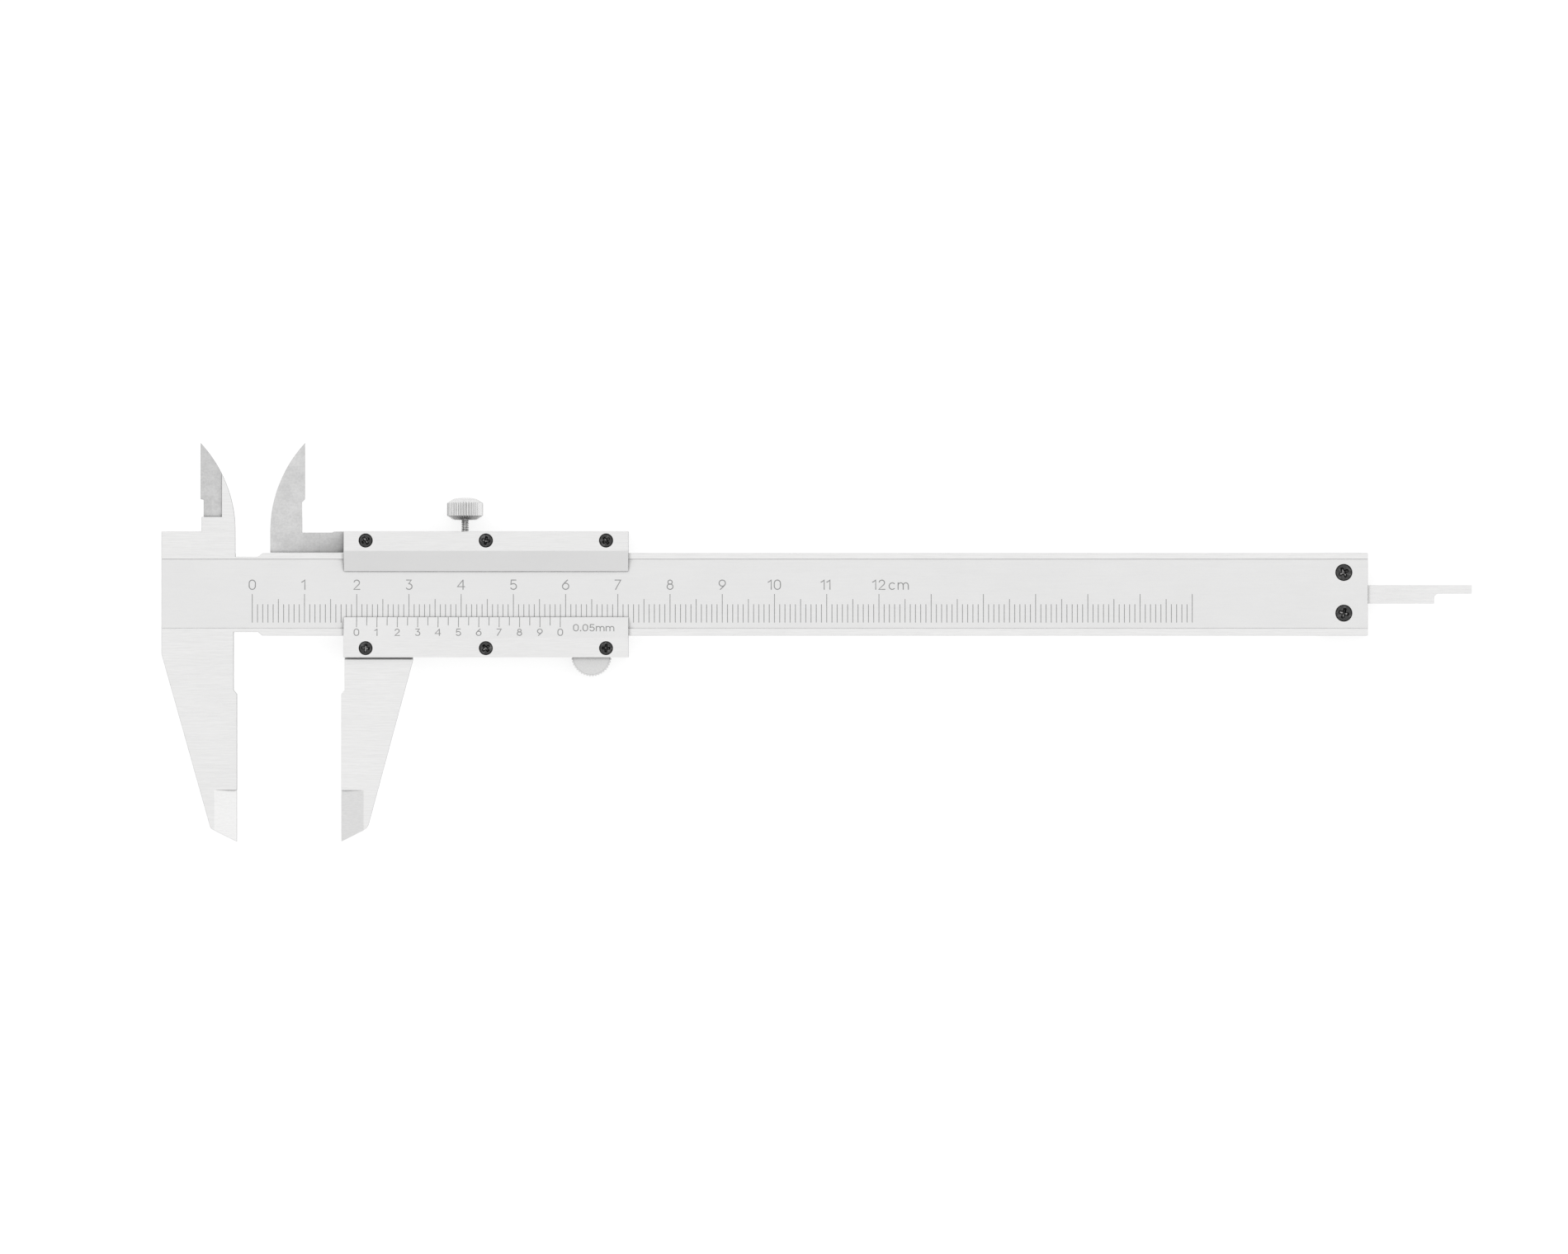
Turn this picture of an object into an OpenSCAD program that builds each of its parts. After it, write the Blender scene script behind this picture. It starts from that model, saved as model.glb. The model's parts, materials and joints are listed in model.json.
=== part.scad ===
// Vernier caliper with two screwed-on front plates, a thumb roller, a lock screw and a depth rod.
// It lies on its back with the slider part open. While the pieces are drawn, x runs along the beam
// from the measuring face of the fixed outside jaw, y is measured from the beam's centre line towards
// the inside jaws, and z rises from the back of the slider. The last lines move it to its origin,
// the middle of its footprint.

/* [Opening] */
// Distance between the outside jaws as drawn
opening = 20; // [5:1:100]

/* [Beam] */
// Width of the beam
beam_w = 15.8; // [14:0.1:20]
// Thickness of the beam and of both outside jaws
beam_t = 3.2; // [2.8:0.1:4.5]
// Length of the beam past the fixed measuring face
beam_reach = 216.6; // [190:0.1:270]
// Length of the head behind the fixed measuring face
head_len = 14.4; // [14:0.1:18]
// Depth of the sunk scale field
field_depth = 0.15; // [0.05:0.05:0.3]
// Ground margin between the scale field and the upper edge
field_margin_top = 1.15; // [0.5:0.05:2]
// Ground margin between the scale field and the lower edge
field_margin_low = 1.4; // [0.5:0.05:2]
// Depth of the undercuts in both edges beside the fixed jaws
undercut = 0.7; // [0.3:0.1:1.2]
// Length of those undercuts
undercut_len = 4.1; // [3:0.1:6]

/* [Outside jaws] */
// Reach of the outside jaws below the beam
outside_reach = 39.5; // [30:0.5:55]
// Length of the ground measuring faces
face_len = 28.3; // [20:0.1:29]
// Step back above the measuring faces
face_relief = 0.65; // [0.3:0.05:1]
// Slope of the jaws' lower ends, in degrees
end_slope = 27; // [20:1:35]
// Width of the jaws at their lower ends
end_w = 5; // [4.6:0.1:7]
// Width of the moving jaw at its root
moving_root_w = 13.7; // [12:0.1:16]
// Drop from the beam's edge to the shoulder of the fixed jaw
fixed_shoulder = 3.5; // [2:0.1:5]
// Drop from the beam's edge to the shoulder of the moving jaw
moving_shoulder = 4.7; // [4.5:0.1:6]
// Width of the grinding groove across the moving jaw's root
root_groove_w = 0.4; // [0.2:0.05:0.8]
// Depth of that groove
root_groove_depth = 0.6; // [0.2:0.1:1]
// Length of the thinned tips
thin_len = 9.9; // [6:0.1:12]
// Width of the thinned tips
thin_w = 4.3; // [3:0.1:4.5]
// Thickness left at the tips' measuring edges
thin_edge = 1.4; // [0.8:0.1:2]

/* [Inside jaws] */
// Length of the inside jaws above the slider's edge
inside_reach = 17; // [12:0.1:22]
// Width of the inside jaws at the root
inside_w = 6.68; // [6:0.01:8]
// Length of their knife edges
knife_len = 10.8; // [8:0.1:11]
// Step back below the knife edges
knife_relief = 0.6; // [0.3:0.1:1]
// Set-back of the fixed knife edge behind the fixed measuring face
knife_setback = 6.96; // [6.9:0.01:8]
// Height of their feet above the slider's edge
knife_foot = 2.8; // [2:0.1:4]
// Width of the ground bevel beside a knife edge
knife_bevel_w = 4.1; // [3:0.1:5]
// Depth of that bevel at its wall
bevel_wall = 0.6; // [0.2:0.1:0.8]
// Thickness left at a knife edge
knife_edge_t = 0.5; // [0.3:0.1:0.7]

/* [Slider] */
// Length of the slider
slider_len = 54.5; // [50:0.5:66]
// Set-back of the slider's end behind the moving measuring face
slider_setback = 0.5; // [0.2:0.1:1]
// Width of the rails beside the beam
rail_w = 4.1; // [4:0.1:6]
// Thickness of the back wall
back_wall = 1.6; // [1.4:0.1:2.5]
// Thickness of the front plates
plate_t = 2.1; // [1.8:0.1:3]
// Width of the flat on each front plate
plate_flat_w = 3.7; // [3.4:0.1:4]
// Thickness of the front plates at their thin edges
plate_edge_t = 0.25; // [0.15:0.05:0.5]
// How far the vernier plate's thin edge covers the beam
vernier_cover = 3.55; // [2:0.05:4.5]
// How far the upper plate's thin edge covers the beam
upper_cover = 3.5; // [2:0.05:4.5]

/* [Screws] */
// Head diameter of the slider's screws
screw_head_d = 2.55; // [2.2:0.05:3]
// Shank diameter of the slider's screws
screw_d = 1.6; // [1.2:0.1:1.8]
// Distance between neighbouring slider screws
screw_pitch = 23; // [15:0.5:24]
// Distance from the rail's outer edge to the screws
screw_inset = 1.75; // [1.6:0.05:2.2]
// Head diameter of the two screws in the beam's end
end_screw_head_d = 3.1; // [2.6:0.1:3.6]
// Shank diameter of those screws
end_screw_d = 2; // [1.6:0.1:2.2]
// Distance between those screws
end_screw_gap = 7.8; // [7.4:0.1:8.4]
// Distance of their middle above the beam's centre line
end_screw_shift = 0.3; // [0:0.1:0.5]
// Height of all screw heads
head_h = 0.9; // [0.6:0.1:1.2]
// Width of the arms of the cross recess
cross_w = 0.45; // [0.3:0.05:0.6]

/* [Lock screw and gib spring] */
// Thread diameter of the lock screw
lock_d = 2; // [1.6:0.1:2.5]
// Diameter of the knurled head
lock_head_d = 6.9; // [5:0.1:7]
// Height of the knurled head
lock_head_h = 4.3; // [3.5:0.1:6]
// Length of the slim neck between the rail and the head
lock_neck = 2.2; // [1.5:0.1:3]
// Distance from the slider's end to the lock screw
lock_x = 23.2; // [22:0.1:24]
// Ridges around the knurled head
lock_ridges = 40; // [30:1:60]
// Depth of the pocket for the gib spring
gib_pocket = 1.05; // [0.9:0.05:1.3]
// Thickness of the gib spring
gib_t = 0.25; // [0.2:0.05:0.3]
// Rise of the gib spring's ends above its middle
gib_bow = 0.4; // [0.2:0.05:0.45]
// Gap between the gib spring and the beam when the lock screw is loose
gib_free = 0.22; // [0.21:0.01:0.3]

/* [Thumb roller] */
// Radius of the thumb roller
roller_r = 3.9; // [3.2:0.1:4.5]
// Thickness of the thumb roller
roller_t = 1.8; // [1.5:0.1:2]
// Ridges around the roller
roller_ridges = 42; // [30:1:60]
// Distance from the slider's far end to the roller's axle
roller_inset = 7.1; // [6:0.1:9]
// Diameter of the axle pin
axle_d = 1.5; // [1.2:0.1:2]
// Radius of the lug that holds the axle pin
lug_r = 2.8; // [2.2:0.1:3]

/* [Depth rod and end plate] */
// Width of the depth rod
rod_w = 3.5; // [2.5:0.1:3.6]
// Thickness of the depth rod
rod_t = 1.4; // [1:0.1:1.6]
// Length of the notch in the rod's tip
notch_len = 7.2; // [5:0.1:9]
// Width of the rod's tip beside the notch
notch_tip_w = 1.6; // [1:0.1:2]
// Diameter of the rod's rivets
rivet_d = 1.6; // [1.2:0.1:2]
// Length of the end plate
end_plate_len = 9.2; // [8:0.1:12]

/* [Fits] */
// Sliding clearance between the beam and the slider, on each face
run_gap = 0.05; // [0.03:0.01:0.1]
// Clearance around the lock screw's thread, the axle pin and the rod in its groove
turn_gap = 0.05; // [0.03:0.01:0.1]
// Clearance around screw shanks and screw heads
screw_gap = 0.05; // [0.03:0.01:0.15]
// Gap between the two inside jaws where they pass each other
lap_gap = 0.06; // [0.04:0.01:0.15]

/* [Hidden] */
$fn = 64;
// Overshoot of cuts past the faces they open
over = 1;

// Levels in z, from the slider's back upwards
z_beam = back_wall + run_gap;
z_face = z_beam + beam_t;
z_rail = z_face + run_gap;
z_top = z_rail + plate_t;
z_mid = z_beam + beam_t / 2;
half_t = (beam_t - lap_gap) / 2;

// Lines in y
y_beam = beam_w / 2;
y_rail = y_beam + run_gap;
y_edge = y_rail + rail_w;
y_tip_low = -(y_beam + outside_reach);
y_tip_high = y_edge + inside_reach;
y_screw = y_edge - screw_inset;
y_knife_foot = y_edge + knife_foot;

// Lines in x
x_slider = opening + slider_setback;
x_slider_end = x_slider + slider_len;
x_knife_fixed = -knife_setback;
x_knife_moving = opening - knife_setback;
x_rod_tip = beam_reach + opening;
x_middle_screw = x_slider + slider_len / 2;

// Middle of the footprint, where the origin goes
x_centre = (x_rod_tip - head_len) / 2;
y_centre = (y_tip_high + y_tip_low) / 2;

// Screws: their heads lie just below the faces, and the slider's end above the thumb roller's slot
head_sink = 0.1;
end_screw_len = z_face - field_depth - head_sink - 0.3;

// Gap between the bar and the moving inside jaw's arm
arm_gap = 0.12;

// Depth rod: it lies on a low seat on the back wall and runs in a groove in the beam's back
rod_z = z_beam + run_gap;
rod_inset = 3.5;
rod_x = x_slider + rod_inset;
rod_seat_len = 11;
rivet_xs = [rod_x + 2.7, rod_x + 8.3];
groove_w = rod_w + 2 * turn_gap;
groove_top = rod_z + rod_t + 2 * turn_gap;
groove_x = slider_setback + rod_inset - 1;

// Thumb roller: it clears the beam's lower edge by the sliding clearance
roller_x = x_slider_end - roller_inset;
roller_y = -(y_beam + run_gap + roller_r);
roller_z = back_wall + 2 * turn_gap;
axle_in_roller = roller_t - 0.6;
screw_len = z_top - head_sink - (roller_z + roller_t + 2 * turn_gap + 0.25);

// Gib spring and lock screw, whose tip meets the spring
gib_end_inset = 2;
gib_h = beam_t - 0.6;
gib_half = slider_len / 2 - gib_end_inset - 0.5;
function gib_rise(x) = gib_bow * pow(x / gib_half, 2);
lock_z = lock_head_d / 2 + run_gap;
lock_at = x_slider + lock_x;
lock_tip_y = y_beam + gib_free + gib_t + gib_rise(lock_at - lock_d / 2 - x_middle_screw);
lock_head_y = y_edge + lock_neck;

// Ways round an outline whose corners are [x, y, radius]
function unit(v) = v / norm(v);
function flat(p) = [p[0], p[1]];
function turn_to(from, to) = ((to - from) % 360 + 540) % 360 - 180;
function corner(before, here, after, steps) =
    here[2] == 0 ? [flat(here)] :
    let (
        back = unit(flat(before) - flat(here)),
        ahead = unit(flat(after) - flat(here)),
        half = acos(back * ahead) / 2,
        centre = flat(here) + unit(back + ahead) * here[2] / sin(half),
        first = flat(here) + back * here[2] / tan(half) - centre,
        last = flat(here) + ahead * here[2] / tan(half) - centre,
        from = atan2(first[1], first[0]),
        turn = turn_to(from, atan2(last[1], last[0]))
    )
    [for (k = [0 : steps]) centre + here[2] * [cos(from + turn * k / steps), sin(from + turn * k / steps)]];
function rounded(corners, steps = 6) = [
    for (i = [0 : len(corners) - 1])
        each corner(corners[(i + len(corners) - 1) % len(corners)], corners[i],
                    corners[(i + 1) % len(corners)], steps)
];

// Outline of a wheel with v-shaped ridges
function ridged(radius, ridges, depth) = [
    for (i = [0 : 2 * ridges - 1])
        (radius - (i % 2) * depth) * [cos(180 * i / ridges), sin(180 * i / ridges)]
];

// Outside jaw below the beam, with its measuring face at x = 0 and its body towards +x
module outside_jaw_outline(root_w, shoulder, heel_r, top) {
    face_top = y_tip_low + face_len;
    chamfer = 0.8;
    polygon(rounded([
        [face_relief, top, 0],
        [face_relief, face_top + chamfer, 0],
        [0, face_top, 0],
        [0, y_tip_low, 0],
        [end_w, y_tip_low + end_w * tan(end_slope), heel_r],
        [root_w, -y_beam - shoulder, 0],
        [root_w, top, 0]
    ]));
}

// The wedges that thin an outside jaw's tip towards its measuring edge, from both faces
module tip_wedges() {
    cut = (beam_t - thin_edge) / 2;
    slope = cut / thin_w;
    for (side = [0, 1])
        translate([0, y_tip_low + thin_len, z_mid])
            mirror([0, 0, side])
                rotate([90, 0, 0])
                    linear_extrude(thin_len + over)
                        polygon([
                            [-over, thin_edge / 2 - over * slope],
                            [thin_w, beam_t / 2],
                            [thin_w, beam_t],
                            [-over, beam_t]
                        ]);
}

// Inside jaw with its knife edge at x = 0 and its body towards +x, from the line y = low upwards.
// Its back is an arc from the root to the tip, and the relief under its knife edge starts with a ramp
// and ends at relief_low.
module inside_jaw_outline(low, relief_low, ramp) {
    radius = (pow(inside_w, 2) + pow(inside_reach, 2)) / (2 * inside_w);
    sweep = asin(inside_reach / radius);
    steps = 24;
    knife_low = y_tip_high - knife_len;
    foot_step = 0.25;
    polygon(concat(
        [[inside_w, low]],
        [for (k = [0 : steps])
            [inside_w - radius + radius * cos(sweep * k / steps), y_edge + radius * sin(sweep * k / steps)]],
        [
            [0, knife_low],
            [knife_relief, knife_low - ramp],
            [knife_relief, relief_low],
            [foot_step, relief_low],
            [foot_step, low]
        ]
    ));
}

// Ground bevel beside an inside jaw's knife edge at x = 0, cut down from above into its half thickness
module knife_bevel() {
    translate([0, y_tip_high + over, 0])
        rotate([90, 0, 0])
            linear_extrude(y_tip_high + over - y_knife_foot)
                polygon([
                    [-over, knife_edge_t],
                    [0, knife_edge_t],
                    [knife_bevel_w, half_t - bevel_wall],
                    [knife_bevel_w, half_t + over],
                    [-over, half_t + over]
                ]);
}

// Screw along z with the top of its head at z = 0, an edge round the head and a cross recess
module cross_screw(head_d, shank_d, length, turned) {
    edge = 0.15;
    cross_len = head_d * 0.64;
    cross_depth = 0.5;
    difference() {
        union() {
            translate([0, 0, -length])
                cylinder(d = shank_d, h = length - edge);
            translate([0, 0, -head_h])
                cylinder(d = head_d, h = head_h - edge);
            translate([0, 0, -edge])
                cylinder(d1 = head_d, d2 = head_d - 2 * edge, h = edge);
        }
        for (arm = [0, 90])
            rotate([0, 0, arm + turned])
                translate([-cross_len / 2, -cross_w / 2, -cross_depth])
                    cube([cross_len, cross_w, cross_depth + over]);
    }
}

// Hole for such a screw
module screw_hole(head_d, shank_d, length) {
    translate([0, 0, -head_h])
        cylinder(d = head_d + 2 * screw_gap, h = head_h + over);
    translate([0, 0, -length])
        cylinder(d = shank_d + 2 * screw_gap, h = length);
}

// Places of the slider's screws, row = 1 above the beam and -1 below it, column = -1, 0 or 1
module at_slider_screw(row, column) {
    translate([x_middle_screw + column * screw_pitch, row * y_screw, z_top - head_sink])
        children();
}

// Places of the screws in the beam's end, row = 1 or -1
module at_end_screw(row) {
    translate([beam_reach - end_plate_len / 2, row * end_screw_gap / 2 + end_screw_shift,
            z_face - field_depth - head_sink])
        children();
}

module beam() {
    color("gainsboro")
        difference() {
            union() {
                translate([0, 0, z_beam])
                    linear_extrude(beam_t) {
                        bar_outline();
                        mirror([1, 0])
                            outside_jaw_outline(head_len, fixed_shoulder, 0.8, 0);
                    }
                translate([0, 0, z_mid + lap_gap / 2])
                    linear_extrude(half_t)
                        fixed_head_outline();
            }
            mirror([1, 0, 0])
                tip_wedges();
            translate([x_knife_fixed, 0, z_mid + lap_gap / 2])
                knife_bevel();
            scale_field();
            rod_groove();
            for (row = [-1, 1])
                at_end_screw(row)
                    screw_hole(end_screw_head_d, end_screw_d, beam_t + back_wall);
        }
}

// Bar of the beam, with an undercut in each edge beside the fixed jaws
module bar_outline() {
    ramp = 0.8;
    x_root = x_knife_fixed + inside_w;
    polygon([
        [-head_len, -y_beam],
        [-face_relief, -y_beam],
        [-face_relief, -y_beam + undercut],
        [undercut_len, -y_beam + undercut],
        [undercut_len + ramp, -y_beam],
        [beam_reach, -y_beam],
        [beam_reach, y_beam],
        [undercut_len + ramp, y_beam],
        [undercut_len, y_beam - undercut],
        [x_root, y_beam - undercut],
        [x_root, y_beam],
        [-head_len, y_beam]
    ]);
}

// Front half of the head: the block above the bar and the fixed inside jaw
module fixed_head_outline() {
    translate([x_knife_fixed, 0])
        inside_jaw_outline(0, y_knife_foot, 0.1);
    translate([-head_len, 0])
        square([head_len + x_knife_fixed + knife_relief, y_edge]);
}

// Sunk field that carries the scale, along the whole front of the bar
module scale_field() {
    low = field_margin_low - y_beam;
    high = y_beam - field_margin_top;
    translate([-head_len - over, low, z_face - field_depth])
        cube([head_len + beam_reach + 2 * over, high - low, field_depth + over]);
}

// Groove in the bar's back for the depth rod
module rod_groove() {
    translate([groove_x, -groove_w / 2, z_beam - over])
        cube([beam_reach - groove_x + over, groove_w, groove_top - z_beam + over]);
}

module end_stop_plate() {
    color("silver")
        difference() {
            translate([beam_reach - end_plate_len, -y_beam, 0])
                cube([end_plate_len, beam_w, z_beam]);
            for (row = [-1, 1])
                at_end_screw(row)
                    screw_hole(end_screw_head_d, end_screw_d, z_face + over);
        }
}

module end_screw(row, turned) {
    color("dimgray")
        at_end_screw(row)
            cross_screw(end_screw_head_d, end_screw_d, end_screw_len, turned);
}

module slider_body() {
    color("lightgray")
        difference() {
            union() {
                slider_channel();
                moving_outside_jaw();
                moving_inside_jaw();
                translate([roller_x, roller_y, 0])
                    cylinder(r = lug_r, h = back_wall);
                rod_seat();
            }
            gib_spring_pocket();
            roller_slot();
            lock_screw_hole();
            for (row = [-1, 1], column = [-1, 0, 1])
                at_slider_screw(row, column)
                    screw_hole(screw_head_d, screw_d, screw_len + screw_gap);
            for (x = rivet_xs)
                rod_rivet(x);
            axle_pin(0);
        }
}

// Back wall and the two rails that guide the beam
module slider_channel() {
    translate([x_slider, -y_edge, 0])
        cube([slider_len, 2 * y_edge, back_wall]);
    for (side = [0, 1])
        mirror([0, side, 0])
            translate([x_slider, y_rail, 0])
                cube([slider_len, rail_w, z_rail]);
}

module moving_outside_jaw() {
    translate([opening, 0, 0])
        difference() {
            translate([0, 0, z_beam])
                linear_extrude(beam_t)
                    outside_jaw_outline(moving_root_w, moving_shoulder, 2, -y_rail);
            tip_wedges();
            translate([-over, -y_edge - root_groove_w, z_face - root_groove_depth])
                cube([moving_root_w + 2 * over, root_groove_w, root_groove_depth + over]);
        }
}

// It passes behind the fixed inside jaw on a thin arm that runs beside the bar
module moving_inside_jaw() {
    arm_low = y_beam + arm_gap;
    arm_high = y_edge - 0.2;
    arm_root = x_slider - 1.9;
    lapped_end = x_slider - 4.7;
    lapped = 0.05;
    difference() {
        translate([0, 0, z_beam])
            linear_extrude(half_t) {
                translate([x_knife_moving, 0])
                    mirror([1, 0])
                        inside_jaw_outline(arm_low, arm_high, knife_relief);
                polygon([
                    [x_knife_moving - inside_w, arm_low],
                    [x_slider + over, arm_low],
                    [x_slider + over, y_edge],
                    [arm_root, y_edge],
                    [arm_root - 0.4, arm_high],
                    [x_knife_moving - inside_w, arm_high]
                ]);
            }
        translate([x_knife_moving, 0, z_beam + half_t])
            mirror([1, 0, 0])
                mirror([0, 0, 1])
                    knife_bevel();
        translate([x_knife_moving - inside_w - over, y_beam, z_beam + half_t - lapped])
            cube([lapped_end - x_knife_moving + inside_w + over, y_tip_high, over]);
    }
}

module rod_seat() {
    translate([rod_x, -rod_w / 2 + 0.1, 0])
        cube([rod_seat_len, rod_w - 0.2, rod_z]);
}

module gib_spring_pocket() {
    translate([x_slider + gib_end_inset, y_beam, back_wall])
        cube([slider_len - 2 * gib_end_inset, run_gap + gib_pocket, z_rail - back_wall + over]);
}

module roller_slot() {
    translate([roller_x, roller_y, back_wall])
        cylinder(r = roller_r + 0.25, h = roller_z + roller_t + 2 * turn_gap - back_wall);
}

module lock_screw_hole() {
    translate([lock_at, y_edge + over, lock_z])
        rotate([90, 0, 0])
            cylinder(d = lock_d + 2 * turn_gap, h = rail_w + over - gib_pocket / 2);
}

// Front plates: a flat beside the screws and a slope down to a thin edge over the beam
module upper_front_plate() {
    color("silver")
        front_plate(upper_cover);
}

module vernier_plate() {
    color("silver")
        mirror([0, 1, 0])
            front_plate(vernier_cover);
}

module front_plate(cover) {
    difference() {
        translate([x_slider, 0, 0])
            rotate([90, 0, 90])
                linear_extrude(slider_len)
                    polygon([
                        [y_edge, z_rail],
                        [y_edge, z_top],
                        [y_edge - plate_flat_w, z_top],
                        [y_beam - cover, z_rail + plate_edge_t],
                        [y_beam - cover, z_rail]
                    ]);
        for (column = [-1, 0, 1])
            at_slider_screw(1, column)
                screw_hole(screw_head_d, screw_d, screw_len);
    }
}

module slider_screw(row, column, turned) {
    color("dimgray")
        at_slider_screw(row, column)
            cross_screw(screw_head_d, screw_d, screw_len, turned);
}

// Bowed leaf whose middle stands off the beam and whose ends point at the pocket's floor
module gib_spring() {
    steps = 24;
    xs = [for (k = [-steps : steps]) gib_half * k / steps];
    color("slategray")
        translate([x_middle_screw, y_beam + gib_free, z_mid - gib_h / 2])
            linear_extrude(gib_h)
                polygon(concat(
                    [for (x = xs) [x, gib_rise(x)]],
                    [for (k = [len(xs) - 1 : -1 : 0]) [xs[k], gib_rise(xs[k]) + gib_t]]
                ));
}

// Tip, thread, slim neck and knurled head with a coned underside and a chamfered top
module lock_screw() {
    tip_d = lock_d - 0.4;
    tip_len = 0.5;
    neck_d = lock_d - 0.6;
    cone_h = 0.8;
    chamfer = 0.5;
    head_r = lock_head_d / 2;
    ridge = 0.16;
    thread_top = y_edge - 0.3;
    color("whitesmoke")
        translate([lock_at, 0, lock_z])
            rotate([-90, 0, 0]) {
                translate([0, 0, lock_tip_y])
                    cylinder(d = tip_d, h = tip_len);
                translate([0, 0, lock_tip_y + tip_len])
                    cylinder(d = lock_d, h = thread_top - lock_tip_y - tip_len);
                translate([0, 0, thread_top])
                    cylinder(d = neck_d, h = lock_head_y - thread_top);
                translate([0, 0, lock_head_y])
                    cylinder(r1 = head_r * 0.7, r2 = head_r - ridge, h = cone_h);
                translate([0, 0, lock_head_y + cone_h])
                    linear_extrude(lock_head_h - cone_h - chamfer)
                        polygon(ridged(head_r, lock_ridges, ridge));
                translate([0, 0, lock_head_y + lock_head_h - chamfer])
                    cylinder(r1 = head_r - ridge, r2 = head_r - ridge - chamfer, h = chamfer);
            }
}

// Wheel with a ridged rim, a slightly raised face and a blind hole for its axle pin
module thumb_roller() {
    face_step = 0.1;
    ridge = 0.25;
    color("silver")
        translate([roller_x, roller_y, roller_z])
            difference() {
                union() {
                    translate([0, 0, face_step])
                        linear_extrude(roller_t - 2 * face_step)
                            polygon(ridged(roller_r, roller_ridges, ridge));
                    cylinder(r = roller_r - ridge - 0.2, h = roller_t);
                }
                translate([0, 0, -over])
                    cylinder(d = axle_d + 2 * turn_gap, h = over + axle_in_roller + turn_gap);
            }
}

module roller_axle_pin() {
    color("lightsteelblue")
        axle_pin(axle_in_roller + roller_z - back_wall);
}

// Axle pin that stands beyond the back wall by the length given
module axle_pin(beyond) {
    translate([roller_x, roller_y, 0])
        cylinder(d = axle_d, h = back_wall + beyond);
}

module depth_rod() {
    fillet = 0.9;
    notch_top = rod_w / 2 - notch_tip_w;
    x_notch = x_rod_tip - notch_len;
    color("silver")
        difference() {
            translate([0, 0, rod_z])
                linear_extrude(rod_t)
                    polygon(rounded([
                        [rod_x, -rod_w / 2, 0],
                        [x_notch, -rod_w / 2, 0],
                        [x_notch, notch_top, fillet],
                        [x_rod_tip, notch_top, 0],
                        [x_rod_tip, rod_w / 2, 0],
                        [rod_x, rod_w / 2, 0]
                    ]));
            for (x = rivet_xs)
                rod_rivet(x);
        }
}

// Countersunk rivet that holds the depth rod on its seat
module rod_rivet(x) {
    sink = 0.5;
    translate([x, 0, 0])
        cylinder(d = rivet_d, h = rod_z + rod_t);
    translate([x, 0, 0])
        cylinder(d1 = rivet_d + 2 * sink, d2 = rivet_d, h = sink);
}

module rod_rivet_piece(x) {
    color("lightsteelblue")
        rod_rivet(x);
}

// Moves the drawn pieces so that the middle of the footprint is the origin
module placed() {
    translate([-x_centre, -y_centre, 0])
        children();
}

placed() beam();
placed() end_stop_plate();
placed() end_screw(1, 20);  // end_screw_upper
placed() end_screw(-1, 55);  // end_screw_lower
placed() slider_body();
placed() upper_front_plate();
placed() vernier_plate();
placed() slider_screw(1, -1, 40);  // upper_screw_left
placed() slider_screw(1, 0, 10);  // upper_screw_middle
placed() slider_screw(1, 1, 70);  // upper_screw_right
placed() slider_screw(-1, -1, 25);  // lower_screw_left
placed() slider_screw(-1, 0, 65);  // lower_screw_middle
placed() slider_screw(-1, 1, 35);  // lower_screw_right
placed() gib_spring();
placed() lock_screw();
placed() thumb_roller();
placed() roller_axle_pin();
placed() depth_rod();
placed() rod_rivet_piece(rivet_xs[0]);  // rod_rivet_front
placed() rod_rivet_piece(rivet_xs[1]);  // rod_rivet_rear
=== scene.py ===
"""Looks of the vernier caliper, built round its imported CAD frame. Everything is in metres."""
import json
import math
import bmesh
import bpy
from mathutils import Matrix, Vector


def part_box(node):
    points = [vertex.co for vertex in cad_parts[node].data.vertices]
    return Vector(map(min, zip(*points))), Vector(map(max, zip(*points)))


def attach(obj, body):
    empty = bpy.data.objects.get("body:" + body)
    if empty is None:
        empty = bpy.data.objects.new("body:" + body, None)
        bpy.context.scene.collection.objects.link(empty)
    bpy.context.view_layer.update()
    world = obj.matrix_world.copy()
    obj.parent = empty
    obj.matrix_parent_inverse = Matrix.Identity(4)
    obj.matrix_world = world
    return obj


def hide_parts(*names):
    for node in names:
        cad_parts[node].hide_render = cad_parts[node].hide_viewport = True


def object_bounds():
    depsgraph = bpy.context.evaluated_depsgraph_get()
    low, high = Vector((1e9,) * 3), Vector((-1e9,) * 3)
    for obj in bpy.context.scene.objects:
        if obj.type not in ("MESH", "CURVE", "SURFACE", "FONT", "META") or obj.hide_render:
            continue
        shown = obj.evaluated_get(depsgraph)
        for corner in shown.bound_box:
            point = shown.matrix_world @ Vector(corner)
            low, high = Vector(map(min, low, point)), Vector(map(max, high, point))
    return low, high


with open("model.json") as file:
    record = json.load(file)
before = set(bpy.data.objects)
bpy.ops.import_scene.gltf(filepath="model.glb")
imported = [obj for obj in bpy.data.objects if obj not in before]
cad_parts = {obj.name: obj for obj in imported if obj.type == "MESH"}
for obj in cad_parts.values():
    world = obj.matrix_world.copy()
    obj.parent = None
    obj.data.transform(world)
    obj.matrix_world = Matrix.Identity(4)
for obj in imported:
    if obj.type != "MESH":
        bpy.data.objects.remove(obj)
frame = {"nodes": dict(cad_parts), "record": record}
cad_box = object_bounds()
NODES = frame["nodes"]
SLOTS = {part["node"]: part["material_slot"] for part in frame["record"]["subparts"]}
BODY_OF = {node: body for body, nodes in frame["record"]["behaviour"]["bodies"].items() for node in nodes}
MM = 0.001

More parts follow.
